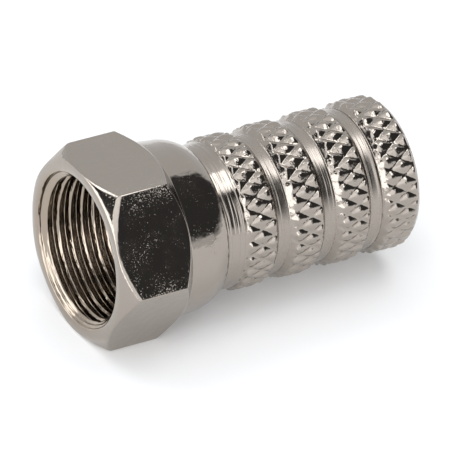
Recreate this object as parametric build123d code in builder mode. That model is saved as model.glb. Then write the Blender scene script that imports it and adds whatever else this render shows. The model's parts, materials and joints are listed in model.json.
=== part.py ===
"""Screw-on coaxial F plug: a hexagonal coupling nut that turns on a knurled cable body.

Millimetres. X runs from the mouth of the nut to the cable end, Z is up, and the plug lies on a flat
of its nut. The origin is the centre of the body's front face, where the socket it screws onto seats.
The socket's standard 3/8-32 thread sets the diameters: the nut is built outwards from it, to the
11 mm across its flats, and the body inwards, to the bore for a 7 mm cable.
"""
import os
from math import ceil, floor, hypot, radians, sqrt, tan

from build123d import *

# Coupling nut: the thread, bored to its minor diameter, and the way into it
thread_minor_d = 8.76
mouth_flare = 0.57          # radius gained by the countersink at the mouth
mouth_depth = 0.5
front_land = 0.5            # width of the flat ring round the mouth

# Coupling nut: the hexagon
hex_length = 4.9
front_bevel = 0.92          # axial depth of the front cone for each millimetre of radius
rear_bevel = 0.93           # the same at the back of the hexagon
corner_margin = 0.1         # turned blank left outside the corners of the hexagon

# Coupling nut: the thin skirt, rolled in behind the flange of the body
skirt_wall = 0.38           # where the skirt starts to turn in
skirt_taper = 0.16          # radius lost along the straight part of the skirt
skirt_step = 0.08           # how far the skirt lies below the flats
skirt_length = 1.5
roll_length = 1.4
lip_length = 0.8            # length of the rolled edge's bore
lip_edge = 0.12             # thickness of the rolled edge

# Cable body: the flange inside the nut and the neck behind it
thread_shoulder = 0.4       # how far the flange reaches outside the thread's minor radius
flange_length = 0.9
flange_break = 0.1
flange_rim = 0.28           # how far the flange stands out from the neck
neck_show = 1.4             # length of neck between the nut and the knurl
neck_tuck = 0.03            # how far the neck runs on under the bevel of the first band

# Cable body: four knurled bands with plain grooves between them
band_count = 4
band_width = 2.36           # at the floors of the grooves
last_band_width = 2.51
last_band_trim = 0.03       # turned off the foot of the last bevel at the rear face
band_bevel = 1.0            # axial length of the bevels for each millimetre of radius
band_root = 0.1             # how far the bevels run on into the wall under the grooves
groove_width = 0.825
groove_step = 0.18          # how far the groove floors lie below the neck
knurl_foot = 0.14           # from a groove floor up to the bottom of the knurl
knurl_depth = 0.27
knurl_land = 0.03           # how far the points of the knurl are turned off
knurl_teeth = 28
knurl_helix_deg = 32.5
knurl_meeting = 0.95        # from the end of the neck to the first full ring of points

# Cable body: the way through for the cable and its inner insulation
sleeve_wall = 1.02          # under the grooves
insulation_step = 0.85      # from the cable bore in to the bore for the insulation
insulation_length = 3.0
drill_point_deg = 118.0
cable_flare = 0.5

# Clearances of the loose nut on the body
flange_clearance = 0.1
neck_clearance = 0.08
front_float = 0.15
rear_float = 0.2

# Radii, from the thread outwards and inwards
thread_r = thread_minor_d / 2
mouth_r = thread_r + mouth_flare
front_r = mouth_r + front_land
flange_r = thread_r + thread_shoulder
chamber_r = flange_r + flange_clearance
roll_r = chamber_r + skirt_wall
skirt_r = roll_r + skirt_taper
flat_r = skirt_r + skirt_step
corner_r = flat_r * 2 / sqrt(3) + corner_margin
neck_r = flange_r - flange_rim
lip_r = neck_r + neck_clearance
groove_r = neck_r - groove_step
valley_r = groove_r + knurl_foot
crest_r = valley_r + knurl_depth
rim_r = crest_r - knurl_land
root_r = groove_r - band_root
cable_r = groove_r - sleeve_wall
cable_mouth_r = cable_r + cable_flare
insulation_r = cable_r - insulation_step

# Places along the axis, from the front face of the body at 0
chamber_end = flange_length + rear_float - flange_clearance
lip_start = chamber_end + chamber_r - lip_r
lip_end = lip_start + lip_length
roll_start = lip_end - roll_length
hex_end = roll_start - skirt_length
nut_front = hex_end - hex_length
neck_start = flange_length + flange_rim
knurl_start = lip_end + neck_show
band_start = knurl_start - band_bevel * groove_step
band_pitch = band_width + groove_width
body_end = band_start + (band_count - 1) * band_pitch + last_band_width
cable_start = insulation_length + insulation_step / tan(radians(drill_point_deg / 2))


def nut_section():
    """Half section of the turned nut blank, drawn beside the X axis."""
    with BuildSketch(Plane.XZ) as section:
        with BuildLine():
            Polyline(
                (nut_front, front_r),
                (nut_front + front_bevel * (corner_r - front_r), corner_r),
                (hex_end - rear_bevel * (corner_r - skirt_r), corner_r),
                (hex_end, skirt_r),
            )
            taper = Line((hex_end, skirt_r), (roll_start, roll_r))
            TangentArc(taper @ 1, (lip_end, lip_r + lip_edge), tangent=taper % 1)
            Polyline(
                (lip_end, lip_r + lip_edge),
                (lip_end, lip_r),
                (lip_start, lip_r),
                (chamber_end, chamber_r),
                (-front_float, chamber_r),
                (-front_float, thread_r),
                (nut_front + mouth_depth, thread_r),
                (nut_front, mouth_r),
                (nut_front, front_r),
            )
        make_face()
    return section.sketch


def body_section():
    """Half section of the turned body before its bands are knurled, drawn beside the X axis."""
    with BuildSketch(Plane.XZ) as section:
        with BuildLine():
            Polyline(
                (0, insulation_r),
                (0, flange_r - flange_break),
                (flange_break, flange_r),
                (flange_length, flange_r),
                (neck_start, neck_r),
                (knurl_start + neck_tuck, neck_r),
                (knurl_start + neck_tuck, groove_r),
                (body_end, groove_r),
                (body_end, cable_mouth_r),
                (body_end - cable_flare, cable_r),
                (cable_start, cable_r),
                (insulation_length, insulation_r),
                close=True,
            )
        make_face()
    return section.sketch


def band_blank(start, width):
    """A band before it is knurled: a ring with bevelled ends and a flat for each row of points."""
    end = start + width
    buried = band_bevel * band_root
    sloped = band_bevel * (rim_r - groove_r)
    flat_count = 2 * knurl_teeth
    with BuildPart() as blank:
        for x, apothem in (
            (start - buried, root_r),
            (start + sloped, rim_r),
            (end - sloped, rim_r),
            (end + buried, root_r),
        ):
            with BuildSketch(Plane.YZ.offset(x)):
                RegularPolygon(apothem, flat_count, major_radius=False, rotation=180 / flat_count)
        loft(ruled=True)
        with BuildSketch(Plane.YZ.offset(start - buried)):
            Circle(cable_mouth_r)
        extrude(amount=width + 2 * buried, mode=Mode.SUBTRACT)
    return blank.part


def knurled_bar():
    """Solid bar covered in flat-sided pyramids, a little longer at each end than the bands.

    Points and hollows take turns round each ring of corners, and from one ring to the next, so that the
    hollows line up in crossed spiral grooves.
    """
    corner_deg = 180 / knurl_teeth
    ring_gap = radians(corner_deg) * crest_r / tan(radians(knurl_helix_deg))
    meeting = knurl_start + knurl_meeting
    first = floor(-knurl_meeting / ring_gap) - 1
    last = ceil((body_end - meeting) / ring_gap) + 1
    rings = []
    for ring in range(first, last + 1):
        corners = []
        for step in range(2 * knurl_teeth):
            radius = valley_r if (ring + step) % 2 else crest_r
            corners.append(Vector(meeting + ring * ring_gap, radius, 0).rotate(Axis.X, step * corner_deg))
        rings.append(corners)
    sides = [rings[0], rings[-1]]
    for near, far in zip(rings, rings[1:]):
        for step in range(2 * knurl_teeth):
            a, b, c, d = near[step - 1], near[step], far[step], far[step - 1]
            if hypot(a.Y, a.Z) < hypot(b.Y, b.Z):
                sides += [(a, b, c), (a, c, d)]
            else:
                sides += [(a, b, d), (b, c, d)]
    return Solid(Shell([Face(Wire.make_polygon(side)) for side in sides]))


os.makedirs("parts", exist_ok=True)

with BuildPart() as coupling_nut:
    revolve(nut_section(), axis=Axis.X)
    with BuildSketch(Plane.YZ.offset(nut_front)):
        RegularPolygon(flat_r, 6, major_radius=False)
    extrude(amount=lip_end - nut_front, mode=Mode.INTERSECT)

coupling_nut.part.label = "coupling_nut"
export_step(coupling_nut.part, "parts/coupling_nut.step")

# The knurled bands: bevelled rings, cut to the pyramids of one knurl that runs on through all of them
with BuildPart() as knurl_bands:
    for band in range(band_count - 1):
        add(band_blank(band_start + band * band_pitch, band_width))
    add(band_blank(body_end - last_band_width, last_band_width + last_band_trim))
    add(knurled_bar(), mode=Mode.INTERSECT)
    split(bisect_by=Plane.YZ.offset(body_end), keep=Keep.BOTTOM)

with BuildPart() as knurled_body:
    revolve(body_section(), axis=Axis.X)
    add(knurl_bands.part)

knurled_body.part.label = "knurled_body"
export_step(knurled_body.part, "parts/knurled_body.step")
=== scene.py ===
"""Looks of a screw-on coaxial F plug: nickel plate, the nut's fine thread and the body's diamond knurl.

Shapes are worked out in millimetres and handed to Blender in metres. X runs from the mouth of the nut
to the cable end, Z is up, and angles round the axis go from +Y towards +Z.
"""
import json
import math

import bmesh
import bpy
import numpy as np
from mathutils import Matrix, Vector


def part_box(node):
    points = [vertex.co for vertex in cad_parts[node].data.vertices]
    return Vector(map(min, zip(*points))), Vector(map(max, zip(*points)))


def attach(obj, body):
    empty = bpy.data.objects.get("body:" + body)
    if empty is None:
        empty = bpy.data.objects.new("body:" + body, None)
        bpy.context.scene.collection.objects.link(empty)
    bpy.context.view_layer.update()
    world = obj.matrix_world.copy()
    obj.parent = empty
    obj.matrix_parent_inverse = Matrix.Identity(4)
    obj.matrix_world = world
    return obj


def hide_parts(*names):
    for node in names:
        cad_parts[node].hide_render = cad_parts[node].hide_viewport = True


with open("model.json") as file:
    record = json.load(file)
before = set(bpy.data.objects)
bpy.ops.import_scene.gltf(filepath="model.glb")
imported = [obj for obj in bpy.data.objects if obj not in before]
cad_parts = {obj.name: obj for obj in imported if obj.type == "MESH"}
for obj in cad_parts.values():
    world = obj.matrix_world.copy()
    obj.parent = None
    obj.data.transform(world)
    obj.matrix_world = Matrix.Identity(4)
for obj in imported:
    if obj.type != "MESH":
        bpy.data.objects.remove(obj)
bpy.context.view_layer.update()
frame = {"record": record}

MM = 0.001

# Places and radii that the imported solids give
nut_low, nut_high = (np.array(corner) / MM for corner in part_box("coupling_nut"))
body_high = np.array(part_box("knurled_body")[1]) / MM
mount_dims = {mount["name"]: mount["dims"] for mount in frame["record"]["mounts"]}
nut_front, lip_end, flat_r = nut_low[0], nut_high[0], nut_high[2]
body_end, flange_r = body_high[0], body_high[2]
thread_r = mount_dims["coupling_thread"]["r_mm"]
cable_r = mount_dims["cable_bore"]["r_mm"]
insulation_r = mount_dims["dielectric_bore"]["r_mm"]
insulation_length = mount_dims["dielectric_bore"]["length_mm"]

# Nut: mouth, hexagon and rolled skirt, as in the solids
mouth_r = 4.95
front_r = 5.45
front_bevel = 0.92          # axial depth of the front cone for each millimetre of radius
rear_bevel = 0.93
hex_length = 4.9
skirt_r = 5.42
skirt_length = 1.5
roll_r = 5.26
lip_r = 4.58
lip_edge = 0.12
lip_length = 0.8
chamber_r = 4.88
chamber_end = 1.0
front_float = 0.15

# Nut: what the solids leave out
corner_round = 0.16         # radius of the hexagon's polished corners
edge_round = 0.08           # how far turned edges are rounded off, along each side
rim_round = 0.25            # the same round the front cone
rounding_limit = 0.45       # the most of a side that its rounded end may take up
thread_pitch = 0.79375      # 32 turns to the inch
thread_depth = 0.38
thread_start = -0.2         # along the axis from the nut's front
thread_turns = (0.0, 0.12, 0.28, 0.62, 0.72, 0.88, 1.0)     # places in one turn of a thread
thread_depths = (0.0, 0.0, 1.0, 1.0, 0.45, 0.0, 0.0)        # share of its depth there
mouth_places = (0.0, 0.07, 0.15, 0.24, 0.31, 0.42)          # along the ridged countersink
mouth_flares = (1.0, 0.72, 0.69, 0.38, 0.35, 0.0)           # share of its flare there

# Body: flange, neck, bands and bore, as in the solids
flange_break = 0.1
flange_length = 0.9
neck_r = 4.5
neck_start = 1.18
knurl_start = 3.5
band_start = 3.32           # foot of the first band's bevel, under the end of the neck
band_count = 4
band_width = 2.36
band_pitch = 3.185
last_band_trim = 0.03
groove_r = 4.32
crest_r = 4.73
knurl_teeth = 28
knurl_helix_deg = 32.5
first_ring = 4.45           # of full points
cable_mouth_r = 3.8
cable_flare = 0.5
drill_point_deg = 118.0

# Body: what the solids leave out
knurl_turn_deg = 3.0        # of the knurl round the axis
knurl_twist = 2             # rings of points by which one turn round the axis climbs towards the cable end
knurl_untwisted_deg = 155.0     # where the rings of points are in the places that the solids give
knurl_valley_r = 4.55       # with the metal that has flowed into the valleys
knurl_lean = 0.22           # how far the points lean round the axis, as a share of the way to a valley
knurl_wear = (0.0, 0.15)    # how far the points are worn down, as a share of their height
wear_seed = 5
wear_rings = 64             # rings of points before their wear repeats
knurl_round = (0.02, 0.06)  # how softly valleys and points are rounded, as a share of the height
knurl_edge_power = 3.5      # how sharp the edges between the sides of a point are
knurl_bulge = 1.5           # how much the sides are rounded, against 1 for flat ones
band_edge_places = (0.0, 0.05, 0.18, 0.45)      # along a band from the foot of its bevel
band_edge_heights = (0.0, 0.09, 0.2, 0.52)      # over the floors of the grooves there
band_edge_dent = 0.2        # how far the knurl's valleys press in the bevels, as a share of their height
neck_front_r = 4.37         # where the tapered neck meets the flange
groove_margin = 0.05        # share of a groove's width that is left to each band beside it
groove_rise = (0.01, 0.02, 0.06)    # how far the floor of each groove slopes up to the band behind it
foot_round = 0.03           # at the feet of the bevels
grip_pitch = 1.3            # coarse thread that grips the cable
grip_depth = 0.25
grip_start = 5.0

# Fineness of the meshes
weld_distance = 1e-7        # in metres
edge_steps = 4
roll_steps = 10
corner_columns = 9
flat_columns = 31
flat_margin_deg = 0.25      # between the columns of a corner and those of a flat
thread_rows = 24            # for each turn
grip_rows = 9
tooth_columns = 16
lattice_rows = 8            # from one ring of points to the next
groove_rows = 6
neck_rows = 20

# The view of the photograph
view_azimuth = -31.89
view_elevation = 33.403
view_roll = 3.99
view_aim = (4.2849, -0.5309, -0.6956)
view_distance = 450.0
view_lens = 600.92
sensor_width = 36.0
clip_start = 0.01           # in metres

# The floor
floor_radius = 400.0
floor_segments = 96
floor_color = (0.86, 0.86, 0.86, 1)
floor_roughness = 0.9

# Nickel: its colours, the thread's darkened with painted shade, and the lowest and highest roughness of each
# surface
nickel_color = (0.358, 0.32, 0.283)
# the thread's browner, darker colour is painted shade, standing in for the light that bounces between its
# turns
thread_color_with_painted_shade = (0.36, 0.305, 0.25)
polished_roughness = (0.06, 0.12)
turned_roughness = (0.08, 0.16)
bore_roughness = (0.12, 0.2)
groove_roughness = (0.2, 0.3)
cloud_scale = 900.0         # of the changes in roughness, in cells to the metre, as are all scales
cloud_detail = 4.0
cloud_limits = (0.35, 0.7)

# Relief of the plating
polish_scale = 2200.0
polish_depth = 0.015
pit_scale = 12000.0
pit_depth = 0.02
pit_limits = (0.88, 1.2)    # of the noise, from no pit to the bottom of one
pit_cluster_scale = 700.0
pit_cluster_share = 0.4
pit_corner_r = (5.7, 6.3)   # where pits get more frequent towards the hexagon's corners
pit_corner_share = 0.12
turning_feed = 0.17
turning_stretch = 0.03      # size of the noise along the axis against that round it
turning_scale = 5500.0
turning_gate = (0.4, 0.6)   # of the noise, from no step to a full one
turning_step_depth = 0.01
turning_line_depth = 0.008
turned_wave_scale = 900.0
turned_wave_depth = 0.004
tap_stretch = 0.15
tap_scale = 5000.0
tap_depth = 0.05
bore_scale = 2500.0
bore_depth = 0.012
rolled_scale = 4200.0
rolled_depth = 0.03

# Brightness of the studio
pale_room = 0.88
ceiling = 1.4
front_low = 1.5
front_high = 1.9
left_lamp = 3.3
dark_room = 0.06
box_light = 3.8
floor_glow = 0.08
daylight_color = (0.985, 1.0, 1.02, 1)

# Parts of the studio by direction: azimuth from and to, elevation from and to, softness of the edges and,
# where it differs, of the lower edge, all in degrees
front_screen = (-80, 15, -5, 72, 4)
side_lamp = (-86, -22, -5, 28, 4)
side_lamp_end = (-135, -82, -8, 18, 1.5)
dark_gap = (19, 50, 8, 60, 3)
dark_wall = (44, 107, 4, 60, 3, 6)
dark_corner = (-126, -79, 20.5, 46, 1.5)
high_box = (30, 115, 60, 75, 2)
back_box = (-172, -128, 48, 66, 3)
ceiling_rise = (50, 85)     # elevations between which the room gets brighter
front_rise = (10, 45)       # the same for the front screen

# Places along the axis that follow from these
hex_end = nut_front + hex_length
roll_start = hex_end + skirt_length
lip_start = lip_end - lip_length
cable_start = insulation_length + (cable_r - insulation_r) / math.tan(math.radians(drill_point_deg / 2))
ring_gap = math.pi / knurl_teeth * crest_r / math.tan(math.radians(knurl_helix_deg))


def tangent_arc(start, along, end, steps):
    """Points of the arc that leaves start in the direction along and reaches end, without start."""
    start, along, end = np.array(start), np.array(along), np.array(end)
    side = np.array((along[1], -along[0])) / np.hypot(*along)
    chord = end - start
    radius = chord @ chord / (2 * chord @ side)
    centre = start + radius * side
    first = math.atan2(*(start - centre)[::-1])
    last = math.atan2(*(end - centre)[::-1])
    angles = np.linspace(first, last, steps + 1)[1:]
    return [centre + radius * np.array((math.cos(angle), math.sin(angle))) for angle in angles]


def rounded_rows(corners, cuts):
    """Rows of a profile whose corners are rounded off, each an array of x and radius for every column."""
    rows = [corners[0]]
    for before, corner, after, cut in zip(corners, corners[1:], corners[2:], cuts):
        back, ahead = before - corner, after - corner
        back_length = np.linalg.norm(back, axis=1, keepdims=True)
        ahead_length = np.linalg.norm(ahead, axis=1, keepdims=True)
        start = corner + back / back_length * np.minimum(cut, rounding_limit * back_length)
        end = corner + ahead / ahead_length * np.minimum(cut, rounding_limit * ahead_length)
        for t in np.linspace(0, 1, edge_steps + 1):
            rows.append((1 - t) ** 2 * start + 2 * t * (1 - t) * corner + t ** 2 * end)
    rows.append(corners[-1])
    return rows


def thread_form(turns):
    """Depth of a thread with bevelled crests, from 0 on a crest to 1 at the root, against turns."""
    return np.interp(turns % 1, thread_turns, thread_depths)


def thread_row(x, angles, start, pitch, inner_r, depth, least_r):
    """The row at x of a right-handed internal thread from start, nowhere narrower than least_r."""
    radius = inner_r + depth * thread_form((x - start) / pitch - angles / (2 * math.pi))
    return np.stack((np.full(len(angles), x), np.maximum(radius, least_r)), axis=1)


class SurfaceOfRows:
    """Closed surface built up from rows of points round the axis."""

    def __init__(self):
        self.vertices = []
        self.faces = []
        self.materials = []
        self.last_row = None
        self.first_row = None

    def add_row(self, row, angles, material=0, diagonals=None):
        """Adds a row of x and radius and the faces to the row before, which may have twice the columns."""
        start = len(self.vertices)
        for (x, radius), angle in zip(row, angles):
            self.vertices.append((x * MM, radius * math.cos(angle) * MM, radius * math.sin(angle) * MM))
        indices = list(range(start, len(self.vertices)))
        if self.last_row is None:
            self.first_row = indices
        else:
            self.join(self.last_row, indices, material, diagonals)
        self.last_row = indices

    def join(self, near, far, material, diagonals=None):
        """Faces between two rows. diagonals says for each column which way its face is split, if it is."""
        count = len(far)
        before = len(self.faces)
        for j in range(count):
            k = (j + 1) % count
            if len(near) == 2 * count:
                a, b, c = near[2 * j], near[2 * j + 1], near[2 * k]
                self.faces += [(a, b, far[j]), (b, far[k], far[j]), (b, c, far[k])]
            elif diagonals is None:
                self.faces.append((near[j], near[k], far[k], far[j]))
            elif diagonals[j]:
                self.faces += [(near[j], near[k], far[j]), (near[k], far[k], far[j])]
            else:
                self.faces += [(near[j], near[k], far[k]), (near[j], far[k], far[j])]
        self.materials += [material] * (len(self.faces) - before)

    def close(self, material=0):
        self.join(self.last_row, self.first_row, material)

    def make_object(self, name, materials):
        """Blender object of the surface, with rows that meet welded and all faces outwards and smooth."""
        mesh = bpy.data.meshes.new(name)
        mesh.from_pydata(self.vertices, [], self.faces)
        mesh.polygons.foreach_set("material_index", self.materials)
        weld = bmesh.new()
        weld.from_mesh(mesh)
        bmesh.ops.remove_doubles(weld, verts=weld.verts, dist=weld_distance)
        bmesh.ops.dissolve_degenerate(weld, edges=weld.edges, dist=weld_distance)
        if weld.calc_volume(signed=True) < 0:
            bmesh.ops.reverse_faces(weld, faces=weld.faces)
        for face in weld.faces:
            face.smooth = True
        weld.to_mesh(mesh)
        weld.free()
        for material in materials:
            mesh.materials.append(material)
        piece = bpy.data.objects.new(name, mesh)
        bpy.context.collection.objects.link(piece)
        return piece


def nut_angles():
    """Angles of the nut's columns, closest together at the corners of the hexagon."""
    corner_half = 30 - math.degrees(math.atan((flat_r - corner_round) / math.sqrt(3) / flat_r))
    near_corner = np.linspace(-corner_half, corner_half, corner_columns)
    flat_start = corner_half + flat_margin_deg
    on_flat = np.linspace(flat_start, 60 - flat_start, flat_columns)
    sector = np.concatenate((near_corner, on_flat))
    return np.radians(np.concatenate([60 * side + sector for side in range(6)]))


def hexagon_radius(angles):
    """Radius of the hexagon with rounded corners at each angle. A corner lies at angle 0."""
    from_corner = np.abs((np.degrees(angles) + 30) % 60 - 30)
    from_flat = np.radians(30 - from_corner)
    centre_r = (flat_r - corner_round) / math.cos(math.pi / 6)
    sideways = centre_r * np.sin(np.radians(from_corner))
    straight = flat_r / np.cos(from_flat)
    bulge = np.sqrt(np.maximum(corner_round ** 2 - sideways ** 2, 0))
    bent = centre_r * np.cos(np.radians(from_corner)) + bulge
    on_straight = flat_r * np.tan(from_flat) < (flat_r - corner_round) / math.sqrt(3)
    return np.where(on_straight, straight, bent)


def nut_mouth(x):
    """Radius of the ridged countersink at x."""
    return thread_r + (mouth_r - thread_r) * np.interp(x - nut_front, mouth_places, mouth_flares)


def make_nut(outside, inside):
    """The nut, with its turned and milled outside and its threaded inside."""
    angles = nut_angles()
    hex_r = hexagon_radius(angles)

    def ring(x, radius):
        return np.stack(np.broadcast_arrays(x, radius, angles)[:2], axis=1).astype(float)

    taper = (roll_start - hex_end, roll_r - skirt_r)
    roll = tangent_arc((roll_start, roll_r), taper, (lip_end, lip_r + lip_edge), roll_steps)
    corners = [
        ring(nut_front, mouth_r),
        ring(nut_front, front_r),
        ring(nut_front + front_bevel * (hex_r - front_r), hex_r),
        ring(hex_end - rear_bevel * (hex_r - skirt_r), hex_r),
        ring(hex_end, skirt_r),
        ring(roll_start, roll_r),
    ]
    corners += [ring(*point) for point in roll]
    corners += [
        ring(lip_end, lip_r),
        ring(lip_start, lip_r),
        ring(chamber_end, chamber_r),
        ring(-front_float, chamber_r),
    ]
    cuts = [rim_round, rim_round] + [edge_round] * (len(corners) - 4)
    surface = SurfaceOfRows()
    for row in rounded_rows(corners, cuts):
        surface.add_row(row, angles)
    row_count = round((-front_float - nut_front) / thread_pitch * thread_rows)
    for x in np.linspace(-front_float, nut_front, row_count + 1):
        row = thread_row(
            x, angles, nut_front + thread_start, thread_pitch, thread_r, thread_depth, nut_mouth(x))
        surface.add_row(row, angles, material=1)
    surface.close(material=1)
    nut = surface.make_object("nut", [outside, inside])
    nut.modifiers.new("even_shading", "WEIGHTED_NORMAL").keep_sharp = True
    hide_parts("coupling_nut")
    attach(nut, "nut")


def knurl_place(columns, x):
    """Place of each column of a row in the knurl: half teeth round the axis, rings of points along it."""
    step = columns * 2 / tooth_columns
    turn = (step / (2 * knurl_teeth) * 360 + knurl_turn_deg - knurl_untwisted_deg) / 360
    return step, (x - first_ring) / ring_gap - knurl_twist * turn


def knurl_height(columns, x, wear):
    """Height of the knurl at each column of a row, from 0 in the grooves to 1 on sharp points."""
    step, ring = knurl_place(columns, x)
    across, along = (step + ring) / 2, (step - ring) / 2
    near_across, near_along = np.round(across), np.round(along)
    from_point = 2 * np.stack((across - near_across, along - near_along)) + knurl_lean
    from_point = np.where(from_point > 0, from_point / (1 + knurl_lean), -from_point / (1 - knurl_lean))
    height = 1 - (from_point ** knurl_edge_power).sum(axis=0) ** (knurl_bulge / knurl_edge_power)
    height = knurl_round[0] * np.logaddexp(0, height / knurl_round[0])
    point_ring = (near_across - near_along).astype(int) % wear.shape[0]
    point_step = (near_across + near_along).astype(int) % wear.shape[1]
    top = 1 - wear[point_ring, point_step]
    return top - knurl_round[1] * np.logaddexp(0, (top - height) / knurl_round[1])


def band_rows(start, end):
    """Places along the axis of a band's rows: the knurl's lattice, closer together on the front bevel."""
    gap = ring_gap / lattice_rows / 2
    front_bevel_end = start + band_edge_places[-1]
    rows = [start, start + foot_round]
    for k in range(math.ceil((start - first_ring) / gap), math.floor((end - first_ring) / gap) + 1):
        x = first_ring + k * gap
        if rows[-1] + foot_round < x < end - 2 * foot_round and (k % 2 == 0 or x < front_bevel_end):
            rows.append(x)
    return rows + [end - foot_round, end]


def grip_mouth(x):
    """Radius of the flared end of the cable bore at x."""
    return cable_mouth_r - (body_end - x) * (cable_mouth_r - cable_r) / cable_flare


def make_body(turned, knurled, bore, grooved):
    """The body: flange, neck, knurled bands, grooves and the way through for the cable."""
    count = knurl_teeth * tooth_columns
    columns = np.arange(count)
    angles = math.radians(knurl_turn_deg) + columns * 2 * math.pi / count
    half_angles = angles[::2]
    wear = np.random.default_rng(wear_seed).uniform(*knurl_wear, (wear_rings, 2 * knurl_teeth))
    surface = SurfaceOfRows()

    def plain(x, radius, material=0):
        surface.add_row([(x, radius)] * count, angles, material)

    def knurled_band(start, end, low, high):
        """Rows between low and high of the band whose bevels have their feet at start and end."""
        rows = band_rows(low, high)
        for x, x_before in zip(rows, rows[:1] + rows):
            height = knurl_height(columns, x, wear)
            edge = np.interp(min(x - start, end - x), band_edge_places, band_edge_heights)
            edge = edge * (1 - band_edge_dent * (1 - height))
            radius = np.minimum(knurl_valley_r + (crest_r - knurl_valley_r) * height, groove_r + edge)
            step, ring = knurl_place(columns + 0.5, (x + x_before) / 2)
            parity = np.floor(step) + np.floor(ring)
            row = np.stack((np.full(count, x), radius), axis=1)
            surface.add_row(row, angles, material=1, diagonals=parity % 2 == 0)

    plain(0, insulation_r)
    plain(0, flange_r - flange_break)
    plain(flange_break, flange_r)
    plain(flange_length, flange_r)
    for x in np.linspace(neck_start, knurl_start - foot_round, neck_rows):
        plain(x, np.interp(x, (neck_start, knurl_start), (neck_front_r, neck_r)))
    for band in range(band_count - 1):
        start = band_start + band * band_pitch
        end = start + band_width
        knurled_band(start, end, max(start, knurl_start), end)
        for t in np.linspace(groove_margin, 1 - groove_margin, groove_rows):
            plain(end + (band_pitch - band_width) * t, groove_r + groove_rise[band] * t ** 2, material=3)
    last_start = band_start + (band_count - 1) * band_pitch
    knurled_band(last_start, body_end + last_band_trim, last_start, body_end)
    rim_r = (groove_r + cable_mouth_r) / 2
    plain(body_end, rim_r + foot_round)
    surface.add_row([(body_end, rim_r)] * len(half_angles), half_angles)
    row_count = round((body_end - grip_start) / grip_pitch * grip_rows)
    for x in np.linspace(body_end, grip_start, row_count + 1):
        row = thread_row(x, half_angles, grip_start, grip_pitch, cable_r, grip_depth, grip_mouth(x))
        surface.add_row(row, half_angles, material=2)
    for x, radius in (
        (grip_start, cable_r),
        (cable_start, cable_r),
        (insulation_length, insulation_r),
        (0, insulation_r),
    ):
        surface.add_row([(x, radius)] * len(half_angles), half_angles, material=2)
    piece = surface.make_object("body", [turned, knurled, bore, grooved])
    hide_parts("knurled_body")
    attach(piece, "cable_body")


class Nodes:
    """Short calls for adding linked nodes to a node tree."""

    def __init__(self, tree):
        self.tree = tree

    def add(self, kind, inputs=None, **settings):
        """Adds a node. inputs gives a number, a colour or another node's output for some of its inputs."""
        node = self.tree.nodes.new("ShaderNode" + kind)
        for key, value in settings.items():
            setattr(node, key, value)
        for key, value in (inputs or {}).items():
            if isinstance(value, bpy.types.NodeSocket):
                self.tree.links.new(value, node.inputs[key])
            else:
                node.inputs[key].default_value = value
        return node

    def math(self, operation, first, second=0.0):
        return self.add("Math", {0: first, 1: second}, operation=operation).outputs[0]

    def noise(self, place, scale, detail=2.0):
        return self.add("TexNoise", {"Vector": place, "Scale": scale, "Detail": detail}).outputs["Fac"]

    def drawn_in(self, place, share):
        """The place along the axis, and the place with its distance from the axis cut to a share."""
        split = self.add("SeparateXYZ", {0: place})
        across = [self.math("MULTIPLY", split.outputs[side], share) for side in (1, 2)]
        inputs = {0: split.outputs[0], 1: across[0], 2: across[1]}
        return split.outputs[0], self.add("CombineXYZ", inputs).outputs[0]

    def ramp(self, value, low, high, out_low=0.0, out_high=1.0):
        """Smooth change from out_low to out_high as value goes from low to high."""
        inputs = {"Value": value, "From Min": low, "From Max": high, "To Min": out_low, "To Max": out_high}
        return self.add("MapRange", inputs, interpolation_type="SMOOTHSTEP").outputs[0]


def nickel(name, base_color, roughness, relief):
    """Nickel plate. relief adds height nodes and returns pairs of a height and its depth in millimetres."""
    material = bpy.data.materials.new(name)
    material.use_nodes = True
    nodes = Nodes(material.node_tree)
    shader = material.node_tree.nodes["Principled BSDF"]
    shader.inputs["Base Color"].default_value = (*base_color, 1)
    shader.inputs["Metallic"].default_value = 1.0
    place = nodes.add("TexCoord").outputs["Object"]
    rough = nodes.ramp(nodes.noise(place, cloud_scale, cloud_detail), *cloud_limits, *roughness)
    material.node_tree.links.new(rough, shader.inputs["Roughness"])
    normal = None
    for height, depth in relief(nodes, place):
        inputs = {"Height": height, "Strength": 1.0, "Distance": depth * MM}
        if normal is not None:
            inputs["Normal"] = normal
        normal = nodes.add("Bump", inputs).outputs["Normal"]
    material.node_tree.links.new(normal, shader.inputs["Normal"])
    return material


def polished_relief(nodes, place):
    """Gentle waves from polishing, and small pits, most of them near the corners of the hexagon."""
    waves = nodes.noise(place, polish_scale, 1.0)
    grain = nodes.noise(place, pit_scale)
    cluster = nodes.math("MULTIPLY", nodes.noise(place, pit_cluster_scale), pit_cluster_share)
    split = nodes.add("SeparateXYZ", {0: place})
    from_axis = nodes.add("CombineXYZ", {1: split.outputs[1], 2: split.outputs[2]}).outputs[0]
    radius = nodes.add("VectorMath", {0: from_axis}, operation="LENGTH").outputs["Value"]
    near_corner = nodes.ramp(radius, pit_corner_r[0] * MM, pit_corner_r[1] * MM, 0.0, pit_corner_share)
    chance = nodes.math("ADD", nodes.math("ADD", grain, cluster), near_corner)
    pits = nodes.ramp(chance, *pit_limits)
    return [(waves, polish_depth), (pits, -pit_depth)]


def turned_relief(nodes, place):
    """Turning lines round the axis, with a slope and a narrow step at each turn of the tool's feed."""
    along, drawn_in = nodes.drawn_in(place, turning_stretch)
    lines = nodes.noise(drawn_in, turning_scale)
    feed = nodes.math("ADD", nodes.math("MULTIPLY", along, 1 / (turning_feed * MM)), lines)
    steps = nodes.math("MULTIPLY", nodes.math("FRACT", feed), nodes.ramp(lines, *turning_gate))
    waves = nodes.noise(place, turned_wave_scale)
    return [(steps, turning_step_depth), (lines, turning_line_depth), (waves, turned_wave_depth)]


def threaded_relief(nodes, place):
    """Uneven plating over the marks of the tap."""
    drawn_in = nodes.drawn_in(place, tap_stretch)[1]
    return [(nodes.noise(drawn_in, tap_scale), tap_depth)]


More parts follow.
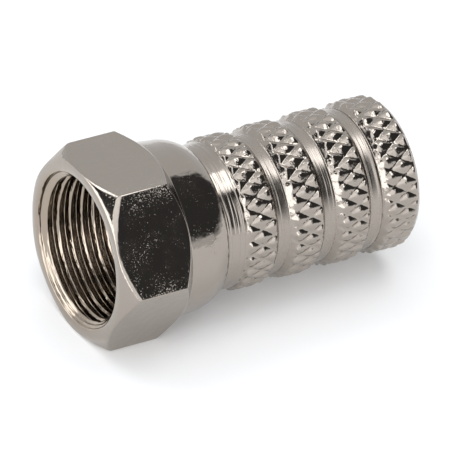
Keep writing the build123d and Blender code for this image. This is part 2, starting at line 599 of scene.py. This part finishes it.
def plated_relief(nodes, place):
    """Uneven plating."""
    return [(nodes.noise(place, bore_scale), bore_depth)]


def knurled_relief(nodes, place):
    """Uneven plating over the rolled points."""
    return [(nodes.noise(place, rolled_scale), rolled_depth)]


def add_floor():
    """A pale disc under the plug."""
    floor_mesh = bpy.data.meshes.new("floor")
    disc = bmesh.new()
    bmesh.ops.create_circle(disc, cap_ends=True, segments=floor_segments, radius=floor_radius * MM)
    disc.to_mesh(floor_mesh)
    disc.free()
    floor = bpy.data.objects.new("floor", floor_mesh)
    floor.location.z = nut_low[2] * MM
    bpy.context.collection.objects.link(floor)
    material = bpy.data.materials.new("pale_floor")
    material.use_nodes = True
    shader = material.node_tree.nodes["Principled BSDF"]
    shader.inputs["Base Color"].default_value = floor_color
    shader.inputs["Roughness"].default_value = floor_roughness
    shader.inputs["Emission Color"].default_value = (1, 1, 1, 1)
    shader.inputs["Emission Strength"].default_value = floor_glow
    floor_mesh.materials.append(material)


def add_studio():
    """Surroundings by direction: a pale room with a bright front screen, lamps, dark walls and soft boxes."""
    world = bpy.data.worlds.new("studio")
    bpy.context.scene.world = world
    world.use_nodes = True
    nodes = Nodes(world.node_tree)
    direction = nodes.add("TexCoord").outputs["Generated"]
    x, y, z = nodes.add("SeparateXYZ", {0: direction}).outputs
    turn = nodes.math("ARCTAN2", x, nodes.math("MULTIPLY", y, -1.0))
    azimuth = nodes.math("MULTIPLY", turn, math.degrees(1))
    elevation = nodes.math("MULTIPLY", nodes.math("ARCSINE", z), math.degrees(1))

    def patch(az_low, az_high, el_low, el_high, soft, soft_low=None):
        """Mask of a soft-edged patch of directions, in degrees. soft_low is for its lower edge alone."""
        soft_low = soft_low or soft
        edges = [
            nodes.ramp(azimuth, az_low - soft, az_low + soft),
            nodes.ramp(azimuth, az_high - soft, az_high + soft, 1.0, 0.0),
            nodes.ramp(elevation, el_low - soft_low, el_low + soft_low),
            nodes.ramp(elevation, el_high - soft, el_high + soft, 1.0, 0.0),
        ]
        mask = edges[0]
        for edge in edges[1:]:
            mask = nodes.math("MULTIPLY", mask, edge)
        return mask

    level = nodes.ramp(elevation, *ceiling_rise, pale_room, ceiling)
    for edges, brightness in (
        (front_screen, nodes.ramp(elevation, *front_rise, front_low, front_high)),
        (side_lamp, left_lamp),
        (side_lamp_end, left_lamp),
        (dark_gap, dark_room),
        (dark_wall, dark_room),
        (dark_corner, dark_room),
        (high_box, box_light),
        (back_box, box_light),
    ):
        inputs = {0: patch(*edges), 2: level, 3: brightness}
        level = nodes.add("Mix", inputs, data_type="FLOAT").outputs[0]
    background = world.node_tree.nodes["Background"]
    world.node_tree.links.new(level, background.inputs["Strength"])
    background.inputs["Color"].default_value = daylight_color


def add_camera():
    """The camera of the photograph, far off with a long lens."""
    azimuth, elevation, roll = (math.radians(a) for a in (view_azimuth, view_elevation, view_roll))
    back = Vector((
        math.sin(azimuth) * math.cos(elevation),
        -math.cos(azimuth) * math.cos(elevation),
        math.sin(elevation),
    ))
    level = Vector((math.cos(azimuth), math.sin(azimuth), 0))
    upright = back.cross(level)
    right = level * math.cos(roll) + upright * math.sin(roll)
    up = upright * math.cos(roll) - level * math.sin(roll)
    data = bpy.data.cameras.new("camera")
    data.lens = view_lens
    data.sensor_width = sensor_width
    data.clip_start = clip_start
    camera = bpy.data.objects.new("camera", data)
    place = Matrix.Translation((Vector(view_aim) + back * view_distance) * MM)
    camera.matrix_world = place @ Matrix((right, up, back)).transposed().to_4x4()
    bpy.context.collection.objects.link(camera)
    bpy.context.scene.camera = camera


# The thread's material carries painted shade: its colour is browner and darker than the rest of the nickel.
make_nut(nickel("polished_nickel", nickel_color, polished_roughness, polished_relief),
         nickel("thread_nickel_painted_shade", thread_color_with_painted_shade, turned_roughness, threaded_relief))
make_body(nickel("turned_nickel", nickel_color, turned_roughness, turned_relief),
          nickel("knurled_nickel", nickel_color, turned_roughness, knurled_relief),
          nickel("bore_nickel", nickel_color, bore_roughness, plated_relief),
          nickel("groove_nickel", nickel_color, groove_roughness, turned_relief))
add_floor()
add_studio()
add_camera()
bpy.context.scene.view_settings.view_transform = "Standard"
